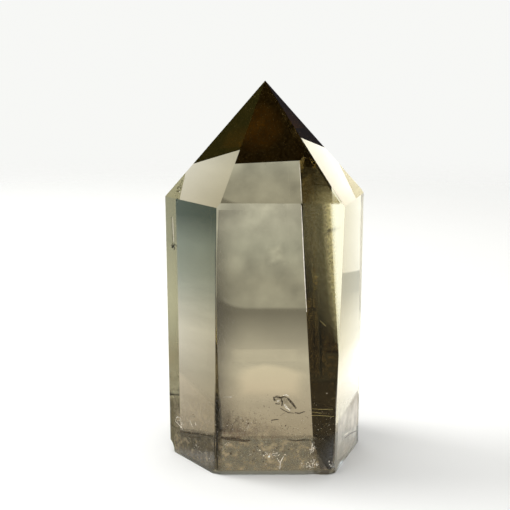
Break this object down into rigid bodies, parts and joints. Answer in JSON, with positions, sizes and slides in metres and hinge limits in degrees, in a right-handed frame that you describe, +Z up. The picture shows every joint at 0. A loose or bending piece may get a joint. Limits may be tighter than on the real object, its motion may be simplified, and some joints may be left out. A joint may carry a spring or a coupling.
{
  "type": "citrine point",
  "caption": "Clear smoky citrine crystal cut and polished as a standing point: a six-sided prism with a six-faced tip and a flat ground foot.",
  "frame": {"origin": "centre of the crystal's bounding box, on the ground foot it stands on", "axes": "+Z up the crystal's length towards the tip, -Y out of the wide front facet, +X towards its narrower right-hand facet"},
  "size_m": [0.0422, 0.0322, 0.08],
  "materials": {
    "citrine": "polished, clear, smoky olive-brown quartz with fine veils near the foot"
  },
  "bodies": {
    "root": {"crystal": "citrine"}
  },
  "joints": []
}
